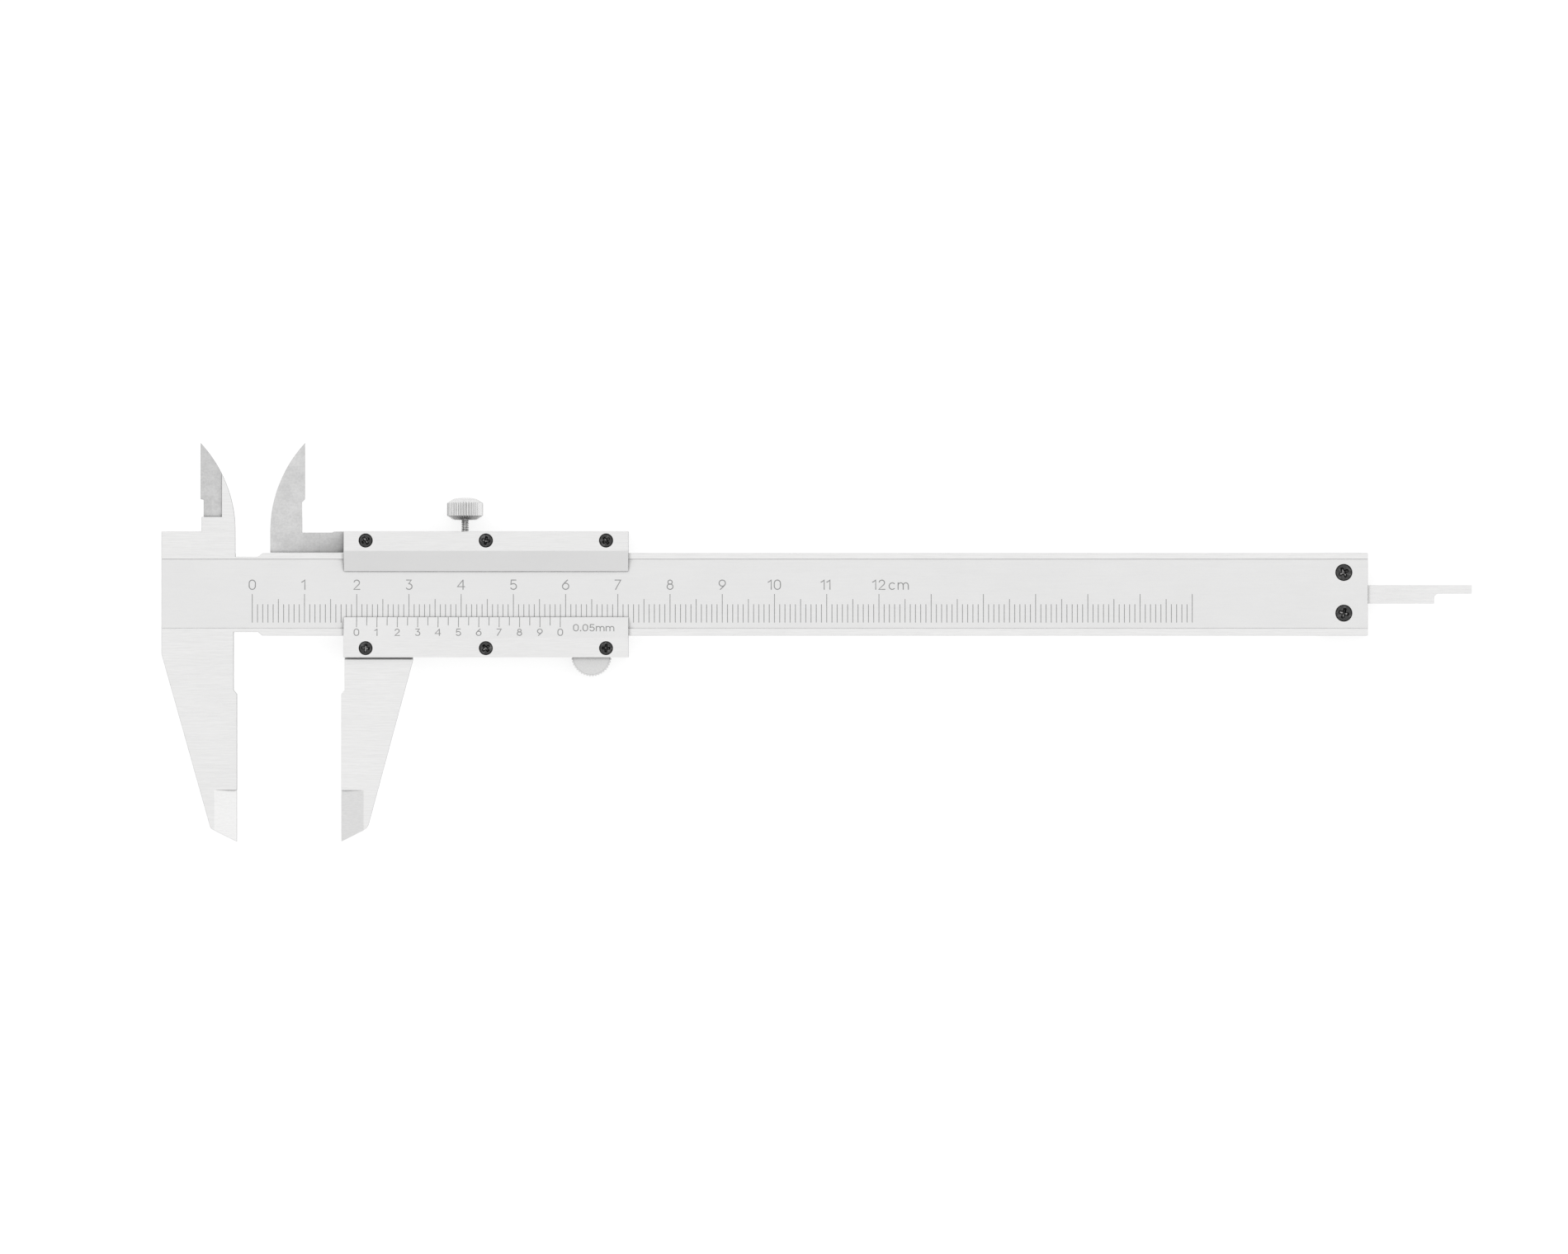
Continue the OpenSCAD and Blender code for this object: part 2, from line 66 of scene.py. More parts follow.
# Lines of the CAD frame that the graduations are set out from
MOUNTS = {mount["name"]: Vector(mount["pos_m"]) for mount in frame["record"]["mounts"]}
beam_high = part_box("beam")[1]
rod_low, rod_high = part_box("depth_rod")
plate_low, plate_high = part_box("vernier_plate")
FACE_X = MOUNTS["fixed_jaw_face"].x
OPENING = MOUNTS["moving_jaw_face"].x - FACE_X
CENTRE_Y = (rod_low.y + rod_high.y) / 2
FACE_Z = beam_high.z
FIELD_DEPTH = 0.15 * MM
FIELD_BELOW = 6.5 * MM
FIELD_ABOVE = 6.75 * MM
PLATE_FLAT = 3.7 * MM
PLATE_EDGE = 0.25 * MM
PLATE_LINE = CENTRE_Y - plate_low.y - PLATE_FLAT
POCKET_ABOVE = 14 * MM
POCKET_DEPTH = 0.3 * MM

# Graduations: places are measured from the fixed measuring face and the beam's centre line
SCALE_ZERO = 2.98 * MM
SCALE_MM = 180
SCALE_NUMERALS = 13
VERNIER_LINES = 21
VERNIER_PITCH = 1.95 * MM
LINE_W = 0.14 * MM
INK_PROUD = 0.004 * MM
INK_SUNK = 0.03 * MM


# ---------------------------------------------------------------- camera, light and floor

def add_camera():
    """Straight above the scale face through a long lens, aimed at the middle of the photo's frame."""
    aim_along, aim_above, distance = 104.8 * MM, -6.25 * MM, 2.502
    data = bpy.data.cameras.new("camera")
    data.lens = 300
    data.sensor_width = 36
    data.clip_start = 0.01
    aim = Vector((aim_along + FACE_X, aim_above + CENTRE_Y, FACE_Z))
    camera = bpy.data.objects.new("camera", data)
    camera.location = aim + Vector((0, 0, distance))
    bpy.context.scene.collection.objects.link(camera)
    bpy.context.scene.camera = camera


def add_area_light(name, place, size, watts):
    data = bpy.data.lights.new(name, "AREA")
    data.shape = "DISK"
    data.size = size
    data.energy = watts
    light = bpy.data.objects.new(name, data)
    light.location = place
    light.rotation_euler = (-Vector(place)).to_track_quat("-Z", "Y").to_euler()
    bpy.context.scene.collection.objects.link(light)


def add_world():
    """A pale studio dome: brightest overhead and to the right, dim to the left and near the horizon."""
    overall = 0.745
    towards = Vector((0.31, 0.07, 0.25))
    horizon_level, full_height = 0.42, 0.85
    world = bpy.data.worlds.new("studio")
    bpy.context.scene.world = world
    world.use_nodes = True
    tree = world.node_tree
    link = tree.links.new
    coords = tree.nodes.new("ShaderNodeTexCoord")
    slant = tree.nodes.new("ShaderNodeVectorMath")
    slant.operation = "DOT_PRODUCT"
    slant.inputs[1].default_value = towards
    level = tree.nodes.new("ShaderNodeMath")
    level.operation = "ADD"
    level.inputs[1].default_value = overall
    split = tree.nodes.new("ShaderNodeSeparateXYZ")
    rise = tree.nodes.new("ShaderNodeMapRange")
    rise.interpolation_type = "SMOOTHSTEP"
    rise.inputs["From Max"].default_value = full_height
    rise.inputs["To Min"].default_value = horizon_level
    strength = tree.nodes.new("ShaderNodeMath")
    strength.operation = "MULTIPLY"
    link(coords.outputs["Generated"], slant.inputs[0])
    link(coords.outputs["Generated"], split.inputs[0])
    link(slant.outputs["Value"], level.inputs[0])
    link(split.outputs["Z"], rise.inputs["Value"])
    link(level.outputs["Value"], strength.inputs[0])
    link(rise.outputs["Result"], strength.inputs[1])
    link(strength.outputs["Value"], tree.nodes["Background"].inputs["Strength"])
    tree.nodes["Background"].inputs["Color"].default_value = (1, 1, 1, 1)


def add_floor():
    """A plain white sheet under the caliper, with a glow that keeps it white in every view."""
    half, tone, glow = 4, 0.35, 0.78
    mesh = bpy.data.meshes.new("floor")
    corners = [(-half, -half, 0), (half, -half, 0), (half, half, 0), (-half, half, 0)]
    mesh.from_pydata(corners, [], [(0, 1, 2, 3)])
    floor = bpy.data.objects.new("floor", mesh)
    floor.location.z = cad_box[0].z - 0.01 * MM
    bpy.context.scene.collection.objects.link(floor)
    material = bpy.data.materials.new("floor_white")
    material.use_nodes = True
    shader = material.node_tree.nodes["Principled BSDF"]
    shader.inputs["Base Color"].default_value = (tone, tone, tone, 1)
    shader.inputs["Roughness"].default_value = 0.9
    shader.inputs["Emission Color"].default_value = (1, 1, 1, 1)
    shader.inputs["Emission Strength"].default_value = glow
    mesh.materials.append(material)


# ---------------------------------------------------------------- materials

class Nodes:
    """A material's node tree, with short ways to add the few kinds of node used here."""

    def __init__(self, name):
        self.material = bpy.data.materials.new(name)
        self.material.use_nodes = True
        self.tree = self.material.node_tree
        self.shader = self.tree.nodes["Principled BSDF"]
        self.coords = self.tree.nodes.new("ShaderNodeTexCoord")
        self.place = self.coords.outputs["Object"]

    def link(self, source, target):
        self.tree.links.new(source, target)

    def noise(self, scale, detail=2.0):
        """Noise from 0 to 1 with a number of cycles per metre along x, y and z."""
        mapping = self.tree.nodes.new("ShaderNodeMapping")
        mapping.inputs["Scale"].default_value = scale
        self.link(self.place, mapping.inputs["Vector"])
        noise = self.tree.nodes.new("ShaderNodeTexNoise")
        noise.inputs["Scale"].default_value = 1
        noise.inputs["Detail"].default_value = detail
        self.link(mapping.outputs["Vector"], noise.inputs["Vector"])
        return noise.outputs["Fac"]

    def split(self, vector):
        split = self.tree.nodes.new("ShaderNodeSeparateXYZ")
        self.link(vector, split.inputs["Vector"])
        return split.outputs["X"], split.outputs["Y"], split.outputs["Z"]

    def ranged(self, value, low, high, from_low=0.3, from_high=0.7):
        node = self.tree.nodes.new("ShaderNodeMapRange")
        node.inputs["From Min"].default_value = from_low
        node.inputs["From Max"].default_value = from_high
        node.inputs["To Min"].default_value = low
        node.inputs["To Max"].default_value = high
        self.link(value, node.inputs["Value"])
        return node.outputs["Result"]

    def math(self, operation, a, b):
        node = self.tree.nodes.new("ShaderNodeMath")
        node.operation = operation
        for socket, value in zip(node.inputs, (a, b)):
            if isinstance(value, (int, float)):
                socket.default_value = value
            else:
                self.link(value, socket)
        return node.outputs["Value"]

    def mix_colour(self, factor, first, second):
        node = self.tree.nodes.new("ShaderNodeMix")
        node.data_type = "RGBA"
        self.link(factor, node.inputs["Factor"])
        for socket, value in ((node.inputs[6], first), (node.inputs[7], second)):
            if isinstance(value, tuple):
                socket.default_value = (*value, 1)
            else:
                self.link(value, socket)
        return node.outputs[2]

    def bump(self, height, distance, strength=1.0):
        node = self.tree.nodes.new("ShaderNodeBump")
        node.inputs["Distance"].default_value = distance
        node.inputs["Strength"].default_value = strength
        self.link(height, node.inputs["Height"])
        self.link(node.outputs["Normal"], self.shader.inputs["Normal"])

    def set(self, **values):
        for name, value in values.items():
            self.shader.inputs[name.replace("_", " ")].default_value = value


def grey(value, warmth=0.0):
    return (value * (1 + warmth), value, value * (1 - warmth))


def brushed(m, value, contrast, grain=(170, 5000, 5000)):
    """Colour and line pattern of ground steel: long and short strokes along x, and soft clouding."""
    along, across, deep = grain
    short = m.noise((4 * along, 1.5 * across, 1.5 * deep), 1)
    fine = m.math("ADD", m.math("MULTIPLY", m.noise(grain, 2), 0.6), m.math("MULTIPLY", short, 0.4))
    clouds = m.noise((70, 110, 110), 2)
    tone = m.math("ADD", m.math("MULTIPLY", fine, 0.85), m.math("MULTIPLY", clouds, 0.15))
    low, high = grey(value * (1 - contrast), 0.003), grey(value * (1 + contrast), 0.003)
    return m.mix_colour(m.ranged(tone, 0, 1, 0.38, 0.62), low, high), fine


def satin(m, value, contrast, speckle=5000, patches=110):
    """Colour and fine speckle of a blasted or lapped face."""
    fine = m.noise((speckle, speckle, speckle), 3)
    clouds = m.noise((patches, patches, patches), 4)
    tone = m.math("ADD", m.math("MULTIPLY", fine, 0.5), m.math("MULTIPLY", clouds, 0.5))
    low, high = grey(value * (1 - contrast), 0.002), grey(value * (1 + contrast), 0.002)
    return m.mix_colour(m.ranged(tone, 0, 1, 0.36, 0.64), low, high), fine


def finish_steel(m, colour, rough, height, side_shade_tone=0.5):
    """Joins colour, roughness and bump, and paints shade into the colour: darker on side faces, in corners
    and in gaps.
    """
    corner_reach, bump_height = 1.4 * MM, 0.0008 * MM
    # Painted shade: the colour is darkened on side faces, and in corners and gaps that the ambient occlusion
    # node finds.
    facing = m.math("ABSOLUTE", m.split(m.coords.outputs["Normal"])[2], 0)
    occlusion = m.tree.nodes.new("ShaderNodeAmbientOcclusion")
    occlusion.samples = 4
    occlusion.inputs["Distance"].default_value = corner_reach
    painted_shade_factor = m.ranged(occlusion.outputs["AO"], 0.05, 1, 0.2, 0.66)
    painted_shade_factor = m.math("MULTIPLY", painted_shade_factor, m.ranged(facing, side_shade_tone, 1, 0.3, 0.8))
    shade = m.tree.nodes.new("ShaderNodeMix")
    shade.data_type = "RGBA"
    shade.blend_type = "MULTIPLY"
    shade.inputs["Factor"].default_value = 1
    m.link(colour, shade.inputs[6])
    m.link(painted_shade_factor, shade.inputs[7])
    m.set(Metallic=1.0)
    m.link(shade.outputs[2], m.shader.inputs["Base Color"])
    m.link(rough, m.shader.inputs["Roughness"])
    m.bump(height, bump_height)
    return m.material


def brushed_steel(name, value, roughness, grain=(170, 5000, 5000), contrast=0.05, side_shade_tone=0.5):
    m = Nodes(name)
    colour, fine = brushed(m, value, contrast, grain)
    return finish_steel(m, colour, m.ranged(fine, roughness - 0.06, roughness + 0.08), fine, side_shade_tone)


def beam_steel():
    """Bright ground steel, with a satin field along the bar and a duller pocket by the knife edge, darkened
    partly with painted shade.
    """
    m = Nodes("beam_steel")
    x, y, z = m.split(m.place)
    in_field = m.math("MULTIPLY", m.math("GREATER_THAN", y, CENTRE_Y - FIELD_BELOW),
                      m.math("LESS_THAN", y, CENTRE_Y + FIELD_ABOVE))
    in_pocket = m.math("MULTIPLY", m.math("GREATER_THAN", y, CENTRE_Y + POCKET_ABOVE),
                       m.math("LESS_THAN", z, FACE_Z - POCKET_DEPTH))
    ground, lines = brushed(m, 0.838, 0.038)
    field, speckle = satin(m, 0.835, 0.012)
    # The pocket's darker colour is partly its duller finish and partly painted shade in the recess.
    pocket, grit = satin(m, 0.665, 0.09, 2600, 500)
    colour = m.mix_colour(in_pocket, m.mix_colour(in_field, ground, field), pocket)
    matt = m.math("MAXIMUM", in_field, in_pocket)
    rough = m.math("ADD", m.ranged(lines, 0.26, 0.38), m.math("MULTIPLY", matt, 0.16))
    height = m.math("MULTIPLY", lines, m.math("SUBTRACT", 1.0, matt))
    height = m.math("ADD", height, m.math("MULTIPLY", speckle, matt))
    return finish_steel(m, colour, rough, height)


def slider_steel():
    """Ground steel on the jaw and rails, and a duller satin inside jaw, with painted shadow on its arm by the
    front plate.
    """
    m = Nodes("slider_steel")
    x, y, z = m.split(m.place)
    low_down = m.math("MULTIPLY", m.math("GREATER_THAN", y, CENTRE_Y), m.math("LESS_THAN", z, FACE_Z - MM))
    past_plate = 0.2 * MM
    sunk = m.math("MULTIPLY", low_down, m.math("LESS_THAN", x, plate_low.x + past_plate))
    ground, lines = brushed(m, 0.845, 0.038)
    worn, grit = satin(m, 0.685, 0.085, 2600, 500)
    # Painted shadow: the arm is darkened next to the front plate and along its lower edge.
    arm_end, arm_len = MOUNTS["moving_jaw_face"].x, 14 * MM
    arm_level, fade_end = CENTRE_Y + 9 * MM, CENTRE_Y + 13 * MM
    arm_shadow_mask = m.math("MULTIPLY", m.ranged(x, 0, 1, arm_end - arm_len, arm_end),
                    m.ranged(y, 1, 0, arm_level, fade_end))
    arm_shadow_tone = satin(m, 0.48, 0.085, 2600, 500)[0]
    dull = m.mix_colour(arm_shadow_mask, worn, arm_shadow_tone)
    colour = m.mix_colour(sunk, ground, dull)
    rough = m.math("ADD", m.ranged(lines, 0.28, 0.40), m.math("MULTIPLY", sunk, 0.14))
    height = m.math("MULTIPLY", lines, m.math("SUBTRACT", 1.0, sunk))
    return finish_steel(m, colour, rough, m.math("ADD", height, m.math("MULTIPLY", grit, sunk)))


def plate_steel(name, slope_tone_and_painted_light):
    """Ground steel on a front plate's flat, and satin on its slope, whose tone carries painted light."""
    m = Nodes(name)
    x, y, z = m.split(m.place)
    off_centre = m.math("ABSOLUTE", m.math("SUBTRACT", y, CENTRE_Y), 0)
    on_slope = m.math("LESS_THAN", off_centre, PLATE_LINE)
    ground, lines = brushed(m, 0.832, 0.03)
    slope, grit = satin(m, slope_tone_and_painted_light, 0.012)
    colour = m.mix_colour(on_slope, ground, slope)
    rough = m.math("ADD", m.ranged(lines, 0.26, 0.38), m.math("MULTIPLY", on_slope, 0.12))
    height = m.math("MULTIPLY", lines, m.math("SUBTRACT", 1.0, on_slope))
    return finish_steel(m, colour, rough, m.math("ADD", height, m.math("MULTIPLY", grit, on_slope)))


def black_oxide():
    """Blackened screw steel, a little browner and shinier where drivers have rubbed it."""
    m = Nodes("black_oxide")
    m.set(Metallic=0.7)
    rubbed = m.ranged(m.noise((1500, 1500, 1500), 3), 0, 1, 0.5, 0.75)
    m.link(m.mix_colour(rubbed, grey(0.055), grey(0.16, 0.01)), m.shader.inputs["Base Color"])
    m.link(m.ranged(m.noise((6000, 6000, 6000)), 0.2, 0.42), m.shader.inputs["Roughness"])
    m.bump(m.noise((9000, 9000, 9000)), 0.002 * MM)
    return m.material


def worn_recess():
    """Walls of the cross recess, where the driver has rubbed spots of bare metal through the black."""
    m = Nodes("worn_recess")
    m.set(Metallic=1.0)
    bare = m.ranged(m.noise((2600, 2600, 2600), 2), 0, 1, 0.52, 0.6)
    m.link(m.mix_colour(bare, grey(0.03), grey(0.34, 0.01)), m.shader.inputs["Base Color"])
    m.link(m.ranged(m.noise((7000, 7000, 7000)), 0.15, 0.35), m.shader.inputs["Roughness"])
    m.bump(m.noise((5000, 5000, 5000)), 0.004 * MM)
    return m.material


def engraving_ink():
    """Matt grey filling of the etched lines and numerals, slightly uneven."""
    m = Nodes("engraving_ink")
    tone = m.ranged(m.noise((2500, 2500, 2500), 3), 0, 1)
    m.link(m.mix_colour(tone, grey(0.30), grey(0.38)), m.shader.inputs["Base Color"])
    m.link(m.ranged(m.noise((8000, 8000, 8000)), 0.55, 0.8), m.shader.inputs["Roughness"])
    return m.material


# ---------------------------------------------------------------- pieces and CAD nodes

def add_piece(name, bm, material, body):
    mesh = bpy.data.meshes.new(name)
    bm.to_mesh(mesh)
    bm.free()
    mesh.materials.append(material)
    piece = bpy.data.objects.new(name, mesh)
    bpy.context.scene.collection.objects.link(piece)
    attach(piece, body)
    return piece


def dress(node, material, edge=0.08 * MM):
    """Gives a CAD node its material and soft ground edges."""
    piece = NODES[node]
    for part in piece.material_slots:
        part.material = material
    weld = piece.modifiers.new("weld", "WELD")
    weld.merge_threshold = 0.002 * MM
    planar = piece.modifiers.new("planar", "DECIMATE")
    planar.decimate_type = "DISSOLVE"
    planar.angle_limit = math.radians(0.2)
    bevel = piece.modifiers.new("edges", "BEVEL")
    bevel.width = edge
    bevel.segments = 2
    bevel.limit_method = "ANGLE"
    bevel.angle_limit = math.radians(25)
    bevel.harden_normals = True


def dress_cad_nodes():
    slider = slider_steel()
    roller = brushed_steel("roller_steel", 0.72, 0.30, grain=(2500, 2500, 600))
    rod = brushed_steel("rod_steel", 0.83, 0.3)
    pin = brushed_steel("pin_steel", 0.62, 0.3, grain=(2500, 2500, 2500))
    spring = brushed_steel("spring_steel", 0.42, 0.35)
    dress("beam", beam_steel(), 0.1 * MM)
    dress("end_stop_plate", slider)
    dress("slider_body", slider)
    # The upper plate's slope faces the dimmer side of the dome, so it gets a lighter colour than the vernier
    # plate's slope: painted light.
    dress("upper_front_plate", plate_steel("upper_plate_steel", 0.955))
    dress("vernier_plate", plate_steel("vernier_plate_steel", 0.88))
    dress("gib_spring", spring, 0.03 * MM)
    dress("thumb_roller", roller, 0.04 * MM)
    dress("roller_axle_pin", pin, 0.04 * MM)
    dress("depth_rod", rod)
    for node in ("rod_rivet_front", "rod_rivet_rear"):
        dress(node, pin, 0.04 * MM)


# ---------------------------------------------------------------- screws

def screw_profile(radius, height):
    """Ring radii and drops below the top of a screw head: a low crown and a rounded rim."""
    rim = 0.28 * MM
    rings = 18
    crown = [(radius - rim) * k / rings for k in range(1, rings + 1)]
    profile = [(r, 0.06 * MM * (r / radius) ** 2) for r in crown]
    start = profile[-1][1]
    for k in range(1, 7):
        turn = math.radians(15 * k)
        profile.append((radius - rim + rim * math.sin(turn), start + 0.8 * rim * (1 - math.cos(turn))))
    head = 0.9 * MM
    shank = 0.62 * radius
    return profile + [(radius, head), (shank, head), (shank, height)]


def recess_depth(u, v, radius):
    """Depth of a cross recess with sloping walls, at a point seen along its two arms."""
    reach, half_width, deep = 0.66 * radius, 0.21 * radius, 0.5 * MM

    def arm(along, across):
        end = min(1, max(0, (reach - abs(along)) / (0.3 * reach)))
        wall = min(1, max(0, (half_width - abs(across)) / (0.55 * half_width)))
        return deep * end * wall

    return max(arm(u, v), arm(v, u))


def lathe(rings, around, radius_at, axis_point):
    """Closed mesh of revolution: rings are steps along the axis, from one closed end to the other."""
    bm = bmesh.new()
    loops = []
    for ring in rings:
        angles = [2 * math.pi * k / around for k in range(around)]
        loops.append([bm.verts.new(axis_point(ring, radius_at(ring, angle), angle)) for angle in angles])
    first = bm.verts.new(axis_point(rings[0], 0, 0))
    last = bm.verts.new(axis_point(rings[-1], 0, 0))
    for k in range(around):
        after = (k + 1) % around
        bm.faces.new((first, loops[0][k], loops[0][after]))
        bm.faces.new((last, loops[-1][after], loops[-1][k]))
        for inner, outer in zip(loops, loops[1:]):
            bm.faces.new((inner[k], outer[k], outer[after], inner[after]))
    bmesh.ops.recalc_face_normals(bm, faces=bm.faces)
    return bm


def smooth_piece(piece, angle):
    piece.data.shade_smooth()
    piece.data.set_sharp_from_angle(angle=math.radians(angle))


def cross_screw(node, turn, black, worn):
    """Crowned screw with a cross recess, in place of a plain CAD screw."""
    low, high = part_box(node)
    middle = (low + high) / 2
    radius = (high.x - low.x) / 2

    def place(ring, r, angle):
        drop = ring[1]
        on_head = drop < 0.2 * MM
        cut = recess_depth(r * math.cos(angle - turn), r * math.sin(angle - turn), radius) if on_head else 0
        return middle.x + r * math.cos(angle), middle.y + r * math.sin(angle), high.z - drop - cut

    bm = lathe(screw_profile(radius, high.z - low.z), 96, lambda ring, angle: ring[0], place)
    piece = add_piece("cross_" + node, bm, black, BODY_OF[node])
    piece.data.materials.append(worn)
    for face in piece.data.polygons:
        u, v = (Matrix.Rotation(-turn, 2) @ (face.center - middle).xy)
        if face.center.z > high.z - MM and recess_depth(u, v, radius) > 0.05 * MM:
            face.material_index = 1
    smooth_piece(piece, 38)
    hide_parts(node)


def add_screws():
    black, worn = black_oxide(), worn_recess()
    screws = [node for node in SLOTS if "screw" in node and node != "lock_screw"]
    for i, node in enumerate(screws):
        cross_screw(node, math.radians(28 + 47 * i), black, worn)


def knurled_lock_screw(material):
    """Lock screw with a ridged, chamfered and domed head and a threaded neck, in place of the CAD one."""
    low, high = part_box("lock_screw")
    middle = (low + high) / 2
    head_r = (high.x - low.x) / 2
    neck_r, thread_r, tip_r = 0.68 * MM, 1.0 * MM, 0.8 * MM
    head_low = high.y - 4.3 * MM
    ridged_low, ridged_high = head_low + 0.75 * MM, high.y - 0.95 * MM
    neck_low = head_low - 2.3 * MM
    pitch, tooth = 0.4 * MM, 0.05 * MM
    ridges, ridge = 40, 0.2 * MM

    # Each ring is its place along the axis, its radius, and how much of the ridges and thread it has
    rings = [(low.y, 0.7 * tip_r, 0, 0), (low.y + 0.1 * MM, tip_r, 0, 0), (low.y + 0.5 * MM, tip_r, 0, 0)]
    rings += [(low.y + 0.5 * MM, thread_r - tooth, 0, 0), (neck_low - 0.2 * MM, thread_r - tooth, 0, 0)]
    turns = round((head_low - neck_low) / pitch * 8)
    rings += [(neck_low + k * pitch / 8, neck_r, 0, 1) for k in range(turns)]
    rings += [(head_low, neck_r, 0, 0), (head_low, 0.6 * head_r, 0, 0)]
    rings += [(head_low + 0.12 * MM, 0.72 * head_r, 0, 0), (ridged_low - 0.1 * MM, head_r - 0.3 * MM, 0, 0)]
    rings += [(ridged_low + 0.1 * MM, head_r, 1, 0), (ridged_high - 0.1 * MM, head_r, 1, 0)]
    rings += [(ridged_high + 0.1 * MM, head_r - 0.3 * MM, 0, 0)]
    rim_r, rim_y = 0.72 * head_r, high.y - 0.38 * MM
    rings += [(rim_y, rim_r, 0, 0), (rim_y + 0.02 * MM, rim_r - 0.12 * MM, 0, 0)]
    dome = [math.radians(angle) for angle in range(15, 90, 15)]
    rings += [(rim_y + (high.y - rim_y) * math.sin(a), (rim_r - 0.12 * MM) * math.cos(a), 0, 0) for a in dome]

    def radius_at(ring, angle):
        along, radius, ridged, threaded = ring
        wave = 0.5 - 0.5 * math.cos(ridges * angle)
        thread = math.cos(2 * math.pi * along / pitch - angle)
        return radius - ridged * ridge * wave ** 1.5 + threaded * tooth * thread

    def place(ring, r, angle):
        return middle.x + r * math.cos(angle), ring[0], middle.z + r * math.sin(angle)

    bm = lathe(rings, 8 * ridges, radius_at, place)
    piece = add_piece("knurled_lock_screw", bm, material, BODY_OF["lock_screw"])
    smooth_piece(piece, 30)
    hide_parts("lock_screw")


# ---------------------------------------------------------------- graduations and numerals

def arc(x, y, rx, ry, first, last, steps=14):
    """Points along an ellipse's arc, between two angles in degrees."""
    angles = [math.radians(first + (last - first) * k / steps) for k in range(steps + 1)]
    return [(x + rx * math.cos(a), y + ry * math.sin(a)) for a in angles]


def ring(x, y, rx, ry):
    return arc(x, y, rx, ry, 0, 360, 24)[:-1]


# Strokes of each character, one unit high and centred on x = 0: (closed, points)
GLYPHS = {
    "0": [(True, arc(0, 0.66, 0.33, 0.34, 0, 180) + arc(0, 0.34, 0.33, 0.34, 180, 360))],
    "1": [(False, [(-0.34, 0.77), (-0.2, 0.84), (-0.08, 0.93), (0, 1), (0, 0)])],
    "2": [(False, arc(0, 0.71, 0.29, 0.29, 165, -38) + [(-0.32, 0), (0.33, 0)])],
    "3": [(False, [(-0.26, 1), (0.25, 1), (-0.03, 0.6)] + arc(0, 0.3, 0.33, 0.3, 80, -148))],
    "4": [(False, [(0.2, 1), (-0.4, 0.29), (0.36, 0.29)]), (False, [(0.2, 0), (0.2, 0.94)])],
    "5": [(False, [(0.27, 1), (-0.22, 1), (-0.27, 0.53)] + arc(0, 0.31, 0.33, 0.31, 128, -148))],
    "6": [(True, ring(0, 0.33, 0.34, 0.33)), (False, [(0.2, 1), (-0.1, 0.72), (-0.29, 0.48)])],
    "7": [(False, [(-0.3, 1), (0.31, 1), (-0.24, 0)])],
    "8": [(True, ring(0, 0.77, 0.23, 0.23)), (True, ring(0, 0.29, 0.31, 0.29))],
    "9": [(True, ring(0, 0.67, 0.34, 0.33)), (False, [(-0.2, 0), (0.1, 0.28), (0.29, 0.52)])],
    "c": [(False, arc(0, 0.35, 0.34, 0.35, 48, 312))],
    "m": [
        (False, [(-0.55, 0), (-0.55, 0.7)]),
        (False, arc(-0.275, 0.42, 0.275, 0.28, 165, 0) + [(0, 0)]),
        (False, arc(0.275, 0.42, 0.275, 0.28, 165, 0) + [(0.55, 0)]),
    ],
    ".": [(True, ring(0, 0.04, 0.03, 0.03))],
}
WIDTHS = {"1": 0.5, "c": 0.68, "m": 1.1, ".": 0.1}
DIGIT_WIDTH = 0.66


def add_ribbon(bm, path, width, closed=False, round_ends=True, rise=INK_PROUD):
    """Adds a thin closed strip along a path in the xy plane, from just below z = 0 up to a rise."""
    path = [Vector(point) for point in path]
    count = len(path)
    steps = [(path[(i + 1) % count] - path[i]).normalized() for i in range(count if closed else count - 1)]
    left, right = [], []
    for i, here in enumerate(path):
        into = steps[i - 1] if closed or i else steps[0]
        out = steps[i] if i < len(steps) else into
        across = Vector((-into.y, into.x))
        side = (across + Vector((-out.y, out.x))).normalized()
        reach = width / 2 / max(side.dot(across), 0.6)
        left.append(here + side * reach)
        right.append(here - side * reach)
    end_cap = start_cap = []
    if round_ends and not closed:
        turns = [Matrix.Rotation(-math.pi * k / 6, 2) for k in range(1, 6)]
        first, last = steps[0], steps[-1]
        end_cap = [path[-1] + turn @ Vector((-last.y, last.x)) * width / 2 for turn in turns]
        start_cap = [path[0] + turn @ Vector((first.y, -first.x)) * width / 2 for turn in turns]
    flat = left + right + end_cap + start_cap
    top = [bm.verts.new((*p, rise)) for p in flat]
    low = [bm.verts.new((*p, -INK_SUNK)) for p in flat]
    faces = [(i, count + i, count + (i + 1) % count, (i + 1) % count) for i in range(len(steps))]
    ends = range(2 * count, 2 * count + len(end_cap))
    starts = range(ends.stop, ends.stop + len(start_cap))
    if end_cap:
        faces.append((count - 1, 2 * count - 1, *reversed(ends)))
        faces.append((count, 0, *reversed(starts)))
    if closed:
        rims = [list(range(count)), list(reversed(range(count, 2 * count)))]
    else:
        rims = [[*range(count), *ends, *reversed(range(count, 2 * count)), *starts]]
    for face in faces:
        bm.faces.new([top[i] for i in face])
        bm.faces.new([low[i] for i in reversed(face)])
    for rim in rims:
        for a, b in zip(rim, rim[1:] + rim[:1]):
            bm.faces.new((top[a], top[b], low[b], low[a]))


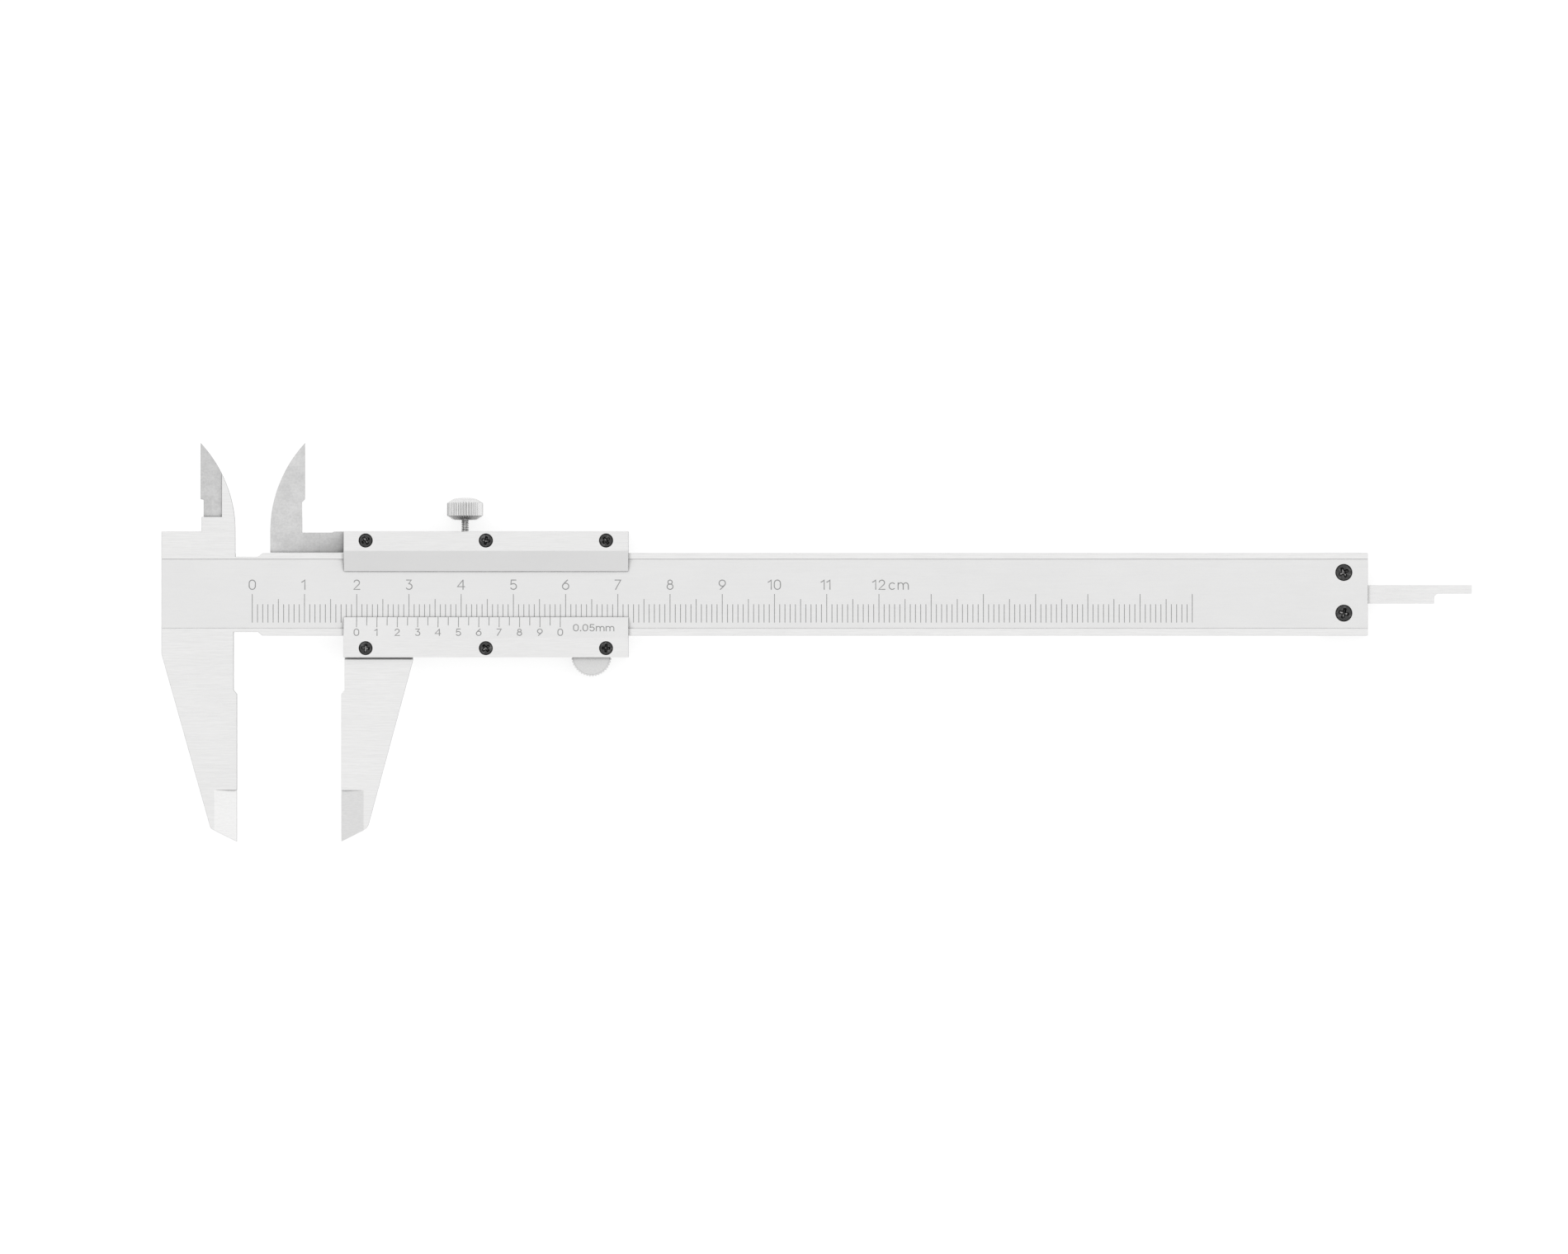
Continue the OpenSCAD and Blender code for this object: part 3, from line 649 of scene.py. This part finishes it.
def add_text(bm, text, x, y, height, stroke, gap=0.26):
    """Adds characters centred on x, standing on the line y, height high between stroke centres."""
    widths = [WIDTHS.get(letter, DIGIT_WIDTH) for letter in text]
    start = -(sum(widths) + gap * (len(text) - 1)) / 2
    for letter, width in zip(text, widths):
        middle = x + (start + width / 2) * height
        if letter == "1":
            middle += 0.04 * height
        for layer, (closed, points) in enumerate(GLYPHS[letter]):
            path = [(middle + u * height, y + v * height) for u, v in points]
            add_ribbon(bm, path, stroke, closed, rise=INK_PROUD * (1 + 0.5 * layer))
        start += width + gap


def ink_piece(name, bm, surface, ink, body):
    """Turns the ribbons into a piece lying on a surface, given as a matrix whose xy plane it is."""
    bmesh.ops.recalc_face_normals(bm, faces=bm.faces)
    bm.transform(surface)
    add_piece(name, bm, ink, body)


def engrave_beam(ink):
    """Main scale: millimetre lines, longer at 5 and 10 mm, with numerals in centimetres."""
    field = Matrix.Translation((FACE_X, CENTRE_Y, FACE_Z - FIELD_DEPTH))
    foot, ten_top, five_top, one_top = -5.4 * MM, 0.06 * MM, -0.9 * MM, -1.9 * MM
    lines = bmesh.new()
    for i in range(SCALE_MM + 1):
        top = ten_top if i % 10 == 0 else five_top if i % 5 == 0 else one_top
        x = SCALE_ZERO + i * MM
        add_ribbon(lines, [(x, foot), (x, top)], LINE_W, round_ends=False)
    ink_piece("main_scale_lines", lines, field, ink, "beam")
    numerals = bmesh.new()
    base, height, stroke = 0.96 * MM, 1.78 * MM, 0.19 * MM
    for cm in range(SCALE_NUMERALS):
        add_text(numerals, str(cm), SCALE_ZERO + 10 * cm * MM, base, height, stroke, gap=0.12)
    last = SCALE_ZERO + 10 * (SCALE_NUMERALS - 1) * MM
    for letter, past in (("c", 2.55 * MM), ("m", 4.65 * MM)):
        add_text(numerals, letter, last + past, base, height, stroke)
    ink_piece("main_scale_numerals", numerals, field, ink, "beam")


def engrave_vernier(ink):
    """Vernier scale: lines from the plate's thin edge up its slope, numerals and the resolution."""
    edge = Vector((FACE_X + OPENING + SCALE_ZERO, plate_high.y, plate_low.z + PLATE_EDGE))
    flat = Vector((edge.x, plate_low.y + PLATE_FLAT, plate_high.z))
    up = (edge - flat).normalized()
    normal = Vector((1, 0, 0)).cross(up)
    slope = Matrix((Vector((1, 0, 0)), up, normal)).transposed().to_4x4()
    slope.translation = edge
    stretch = 1 / up.y
    even_line, odd_line = 1.95 * MM * stretch, 1.6 * MM * stretch
    lines = bmesh.new()
    for i in range(VERNIER_LINES):
        length = even_line if i % 2 == 0 else odd_line
        x = i * VERNIER_PITCH
        add_ribbon(lines, [(x, -0.02 * MM), (x, -length)], LINE_W, round_ends=False)
    ink_piece("vernier_lines", lines, slope, ink, "slider")
    numerals = bmesh.new()
    base, height, stroke = -3.52 * MM * stretch, 1.22 * MM * stretch, 0.18 * MM
    for i in range(VERNIER_LINES // 2 + 1):
        add_text(numerals, str(i % 10), 2 * i * VERNIER_PITCH, base, height, stroke)
    resolution_x, resolution_base = 45.4 * MM, -2.65 * MM * stretch
    add_text(numerals, "0.05mm", resolution_x, resolution_base, height, stroke, gap=0.29)
    ink_piece("vernier_numerals", numerals, slope, ink, "slider")


# ---------------------------------------------------------------- the scene

add_camera()
add_world()
add_area_light("key", (-0.6, 0.85, 1.2), 0.9, 1.7)
add_floor()
dress_cad_nodes()
add_screws()
# The knob's side faces get only a little painted shade.
nickel = brushed_steel("nickel", 0.80, 0.24, grain=(3000, 500, 3000), contrast=0.06, side_shade_tone=0.9)
knurled_lock_screw(nickel)
ink_material = engraving_ink()
engrave_beam(ink_material)
engrave_vernier(ink_material)
bpy.context.scene.view_settings.view_transform = "Standard"
